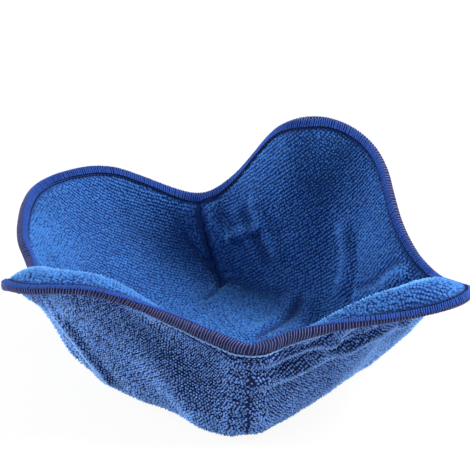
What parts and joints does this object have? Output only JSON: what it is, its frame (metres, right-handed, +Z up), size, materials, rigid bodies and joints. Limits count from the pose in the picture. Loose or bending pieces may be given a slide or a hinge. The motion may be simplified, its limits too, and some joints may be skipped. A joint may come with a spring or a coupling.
{
  "type": "microwave bowl cozy",
  "caption": "Padded terry cloth holder that hugs a hot bowl: a cloth square darted at the middle of each side into a bowl shape with four lobes to grip, its edge overlocked",
  "frame": {"origin": "on the floor, under the middle of the base", "axes": "+Z up; -Y towards the front dart, which faces the picture's viewer; +X towards the right dart; +Y towards the back dart"},
  "size_m": [0.2026, 0.1762, 0.102],
  "materials": {
    "outer_terry": "blue microfibre terry, looped",
    "wadding": "white cotton wadding",
    "inner_terry": "blue microfibre terry, looped",
    "overlock_thread": "violet blue overlock thread",
    "needle_thread": "pale blue grey thread",
    "dart_thread": "dark blue thread"
  },
  "bodies": {
    "root": {"outer_cover": "outer_terry", "wadding": "wadding", "inner_lining": "inner_terry", "overlock_band": "overlock_thread", "needle_line": "needle_thread", "cover_dart_thread_front": "dart_thread", "cover_dart_thread_right": "dart_thread", "cover_dart_thread_back": "dart_thread", "cover_dart_thread_left": "dart_thread", "lining_dart_thread_front": "dart_thread", "lining_dart_thread_right": "dart_thread", "lining_dart_thread_back": "dart_thread", "lining_dart_thread_left": "dart_thread"}
  },
  "joints": []
}
